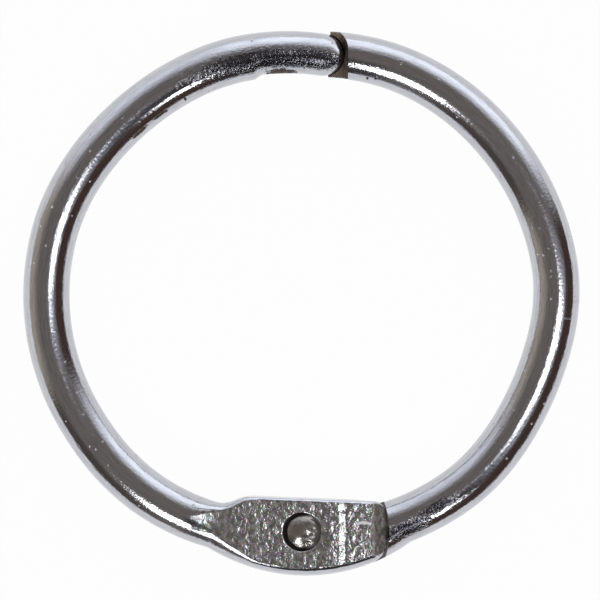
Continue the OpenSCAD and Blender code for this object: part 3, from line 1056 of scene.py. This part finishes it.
def socket_cutters():
    ball = bmesh.new()
    bmesh.ops.create_icosphere(ball, subdivisions=5, radius=(nose_r + nose_fit) * MM)
    bmesh.ops.translate(ball, verts=ball.verts, vec=Vector((-nose.x, nose.y, nose.z)) * MM)
    shoulder_x = nose_reach + shoulder_gap
    block = bmesh.new()
    bmesh.ops.create_cube(block, size=1.0)
    for v in block.verts:
        v.co.x = -shoulder_x if v.co.x < 0 else 0.0
        v.co.y = -2 * wire_r if v.co.y < 0 else SOCKET_OUT
        v.co.z = -2 * wire_r if v.co.z < 0 else 0.0
    worn = [e for e in block.edges if all(v.co.x < 0 and v.co.y > 0 for v in e.verts)]
    bmesh.ops.bevel(block, geom=worn, offset=SHOULDER_ROUND, segments=SHOULDER_STEPS,
                    profile=0.5, affect="EDGES")
    level, rise = math.cos(socket_tilt), math.sin(socket_tilt)
    for v in block.verts:
        x, y, z = v.co
        v.co = Vector((x, nose.y + y * level + z * rise, nose.z - y * rise + z * level)) * MM
    return [as_object(ball, "nose_room"), as_object(block, "socket_side")]


rear = half_ring("rear_half_wire", end_loops, None, socket_at + BREAK_ANGLE, REAR_FLATS, -1, rear_nickel)
cut(rear, hinge_cutters(holding_fit) + socket_cutters())
place_half(rear, True)
settle(rear, "rear", "rear_half")

# %% [markdown]
# ## The rivet
# The rivet was closed by a blow that left its head a little off centre and dented. It is turned from
# a profile, and the points of the front head are then moved by a few dents.

# %% Finish of the rivet
RIVET_NICKEL, SOOT = (0.42, 0.40, 0.38), (0.16, 0.135, 0.115)
SOOT_TONES, SOOT_SHARE = (0.5, 0.72), 0.7
BLOW_RELIEF, GRAIN_RELIEF = 0.03, 0.008


def rivet_finish():
    material, shader, _, place = new_finish("rivet_nickel")
    blows = place.noise(2.2, 1.0)
    grain = place.noise(9.0, 3.0)
    soot = place.noise(3.0, 4.0).rise(*SOOT_TONES)
    connect(shader, Base_Color=(soot * SOOT_SHARE).blend(RIVET_NICKEL, SOOT),
            Roughness=0.13 + grain * 0.16, Metallic=1.0 - soot * 0.15,
            Normal=grain.bump(GRAIN_RELIEF, blows.bump(BLOW_RELIEF)))
    print(f"rivet_nickel: {len(material.node_tree.nodes)} nodes")
    return material


# %% [markdown]
# The profile runs from the middle of one crown over both heads to the middle of the other. A sculpted
# head would need many strokes, but a dent is one bell-shaped dip: its place from the head's middle, its
# radius and its depth.

# %% Turn the rivet
HAIR, RIVET_STEPS, CROWN_STEPS, CROWN_SHARE = 1e-3, 96, 24, 0.98
DENTS = [(0.25, -0.6, 0.09, 0.05), (0.42, -0.2, 0.14, 0.03), (0.05, -0.42, 0.2, 0.025),
         (0.55, 0.12, 0.13, 0.03), (-0.35, 0.3, 0.25, 0.015), (0.3, 0.35, 0.2, 0.015)]


def head_profile(base, top, way):
    """Points from the head's rim to just before the middle of its crown."""
    head_r = head_d / 2
    crown_r = (head_r ** 2 + head_crown ** 2) / (2 * head_crown)
    edge = math.asin(head_r / crown_r)
    rows = [(head_r - EDGE_BREAK, base), (head_r, base + way * EDGE_BREAK)]
    for t in [0.0] + spread(0, CROWN_SHARE, CROWN_STEPS):
        a = edge * (1 - t)
        rows.append((crown_r * math.sin(a), top - way * (crown_r - crown_r * math.cos(a))))
    return rows


def make_rivet():
    front_z = face_z - recess_depth
    rear_z = 2 * mid_z - front_z
    shank = shank_d / 2
    under_front = front_z + head_play
    rear_rows = head_profile(rear_z, 2 * mid_z - face_z - head_proud, -1)
    front_rows = head_profile(under_front, face_z + head_proud, 1)
    profile = list(reversed(rear_rows)) + [(shank, rear_z), (shank, under_front)] + front_rows
    piece = turned_body("hinge_rivet_closed", rivet, profile, RIVET_STEPS)
    for v in piece.data.vertices:
        x, y, z = (c / MM for c in v.co)
        past_shank = math.dist((x, y), rivet) > shank + HAIR
        if z > under_front + HAIR or (z > under_front - HAIR and past_shank):
            x += head_offset
        if z > face_z - recess_depth / 2:
            z -= sum(d * math.exp(-((x - head_offset - dx) ** 2 + (y - rivet.y - dy) ** 2) / r ** 2)
                     for dx, dy, r, d in DENTS)
        v.co = Vector((x, y + ring_shift, z)) * MM
    shade(piece.data)
    piece.data.materials.append(rivet_finish())
    into_scene(piece)
    return piece


rivet_piece = make_rivet()
settle(rivet_piece, "rear", "hinge_rivet")
print("rivet faces:", len(rivet_piece.data.polygons))

# %% [markdown]
# ## Floor, light and camera
# Polished metal shows its surroundings more than its own colour, so the studio is part of the
# likeness: a white table, a tall window light from the right, two lamps from the front and a bright
# wall behind the ring. The table is a diffuse sheet that looks white to the camera and in reflections,
# so it lights the ring no more than a sheet would, and it keeps a faint shadow.

# %% The white table
TABLE_HALF, TABLE_WHITE, SEEN_WHITE = 1.5, (0.9, 0.9, 0.9, 1), 0.97


def white_table():
    mesh = bpy.data.meshes.new("table")
    outline = [(x * TABLE_HALF, y * TABLE_HALF, 0) for x, y in ((-1, -1), (1, -1), (1, 1), (-1, 1))]
    mesh.from_pydata(outline, [], [(0, 1, 2, 3)])
    table = bpy.data.objects.new("table", mesh)
    into_scene(table)
    material = bpy.data.materials.new("white_table")
    material.use_nodes = True
    tree = material.node_tree
    tree.nodes.clear()
    board = Tone(tree)
    seen = 0.0
    for ray in ("Is Camera Ray", "Is Glossy Ray", "Is Transmission Ray"):
        seen = board.node("ShaderNodeLightPath", {}, {}, ray).larger(seen)
    glow = board.node("ShaderNodeEmission", {}, {"Color": (1, 1, 1, 1), "Strength": 1.0})
    matt = board.node("ShaderNodeBsdfDiffuse", {}, {"Color": TABLE_WHITE})
    both = board.node("ShaderNodeMixShader", {}, {0: seen * SEEN_WHITE, 1: matt, 2: glow})
    output = tree.nodes.new("ShaderNodeOutputMaterial")
    tree.links.new(both.socket, output.inputs["Surface"])
    mesh.materials.append(material)
    print(f"table: {2 * TABLE_HALF} m wide")


white_table()

# %% [markdown]
# A lamp is a bright rectangle that faces the ring. On a round wire its place decides where its streak
# lies, so it is given by its azimuth and its angle from straight up, in degrees, with a width and a
# height in metres.

# %% The lamps
LAMP_DISTANCE = 0.5


def lamp(name, azimuth, zenith, width, height, watts):
    a, b = math.radians(azimuth), math.radians(zenith)
    aim = Vector((math.sin(b) * math.cos(a), math.sin(b) * math.sin(a), math.cos(b)))
    data = bpy.data.lights.new(name, "AREA")
    data.shape, data.size, data.size_y, data.energy = "RECTANGLE", width, height, watts
    light = bpy.data.objects.new(name, data)
    light.location = aim * LAMP_DISTANCE
    light.rotation_euler = aim.to_track_quat("Z", "Y").to_euler()
    into_scene(light)
    print(f"{name}: {watts} W at {azimuth} degrees")


lamp("window", -15, 24, 0.07, 0.19, 0.268)
lamp("front_right_lamp", 299, 47, 0.055, 0.07, 0.15)
lamp("front_left_lamp", 247.5, 46, 0.14, 0.19, 0.67)

# %% [markdown]
# Between the lamps the metal mirrors the room: a warm grey with soft patches, dark for the shadows
# round the table and bright for the walls. Each has an azimuth, a half width and a softness, the angles
# from straight up between which it comes and, if it ends, goes again, and a colour.

# %% The room around the table
def towards(x, y, azimuth, half, soft):
    """1 within half degrees of an azimuth, falling to 0 over soft degrees."""
    c, s = math.cos(math.radians(azimuth)), math.sin(math.radians(azimuth))
    off = abs(x.math("ARCTAN2", y * c - x * s, x * c + y * s))
    return 1.0 - off.rise(math.radians(half - soft / 2), math.radians(half + soft / 2))


ROOM = (0.20, 0.178, 0.165)
PATCHES = [
    (175, 40, 16, (38, 76), None, (0.50, 0.44, 0.37)),
    (220, 18, 12, (38, 58), None, (0.10, 0.080, 0.070)),
    (288, 34, 14, (6, 22), None, (0.050, 0.045, 0.045)),
    (-24, 46, 12, (36, 54), None, (0.075, 0.048, 0.040)),
    (-13, 25, 20, (6, 16), (32, 48), (0.46, 0.47, 0.52)),
    (114, 33, 24, (30, 74), None, (1.00, 1.03, 1.10)),
    (68, 38, 26, (30, 74), None, (1.55, 1.60, 1.70)),
]


def studio_room():
    world = bpy.data.worlds.new("studio_room")
    bpy.context.scene.world = world
    world.use_nodes = True
    board = Tone(world.node_tree)
    x, y, z = board.node("ShaderNodeTexCoord", {}, {}, "Generated").parts()
    zenith = board.math("ARCCOSINE", z) * (180 / math.pi)
    colour = ROOM
    for azimuth, half, soft, rises, falls, paint in PATCHES:
        mask = towards(x, y, azimuth, half, soft) * zenith.rise(*rises)
        if falls:
            mask = mask * (1.0 - zenith.rise(*falls))
        colour = mask.blend(colour, paint)
    back = world.node_tree.nodes["Background"]
    board.tree.links.new(colour.socket, back.inputs["Color"])
    back.inputs["Strength"].default_value = 1.0
    print("room:", len(PATCHES), "patches")


studio_room()

# %% [markdown]
# The camera stands a quarter of a metre above the ring, and its lens follows from the width that the
# picture shows.

# %% The camera, straight above
VIEW_WIDTH, SENSOR, CAMERA_UP, NEAREST = 32.28, 36.0, 250.0, 1.0
CENTRE = (-0.108, 0.178)
camera = bpy.data.objects.new("camera", bpy.data.cameras.new("camera"))
camera.data.sensor_width = SENSOR
camera.data.lens = SENSOR * CAMERA_UP / VIEW_WIDTH
camera.data.clip_start = NEAREST * MM
camera.location = (CENTRE[0] * MM, CENTRE[1] * MM, (mid_z + CAMERA_UP) * MM)
into_scene(camera)
bpy.context.scene.camera = camera
bpy.context.scene.view_settings.view_transform = "Standard"
print(f"lens {camera.data.lens:.1f} mm")

# %% [markdown]
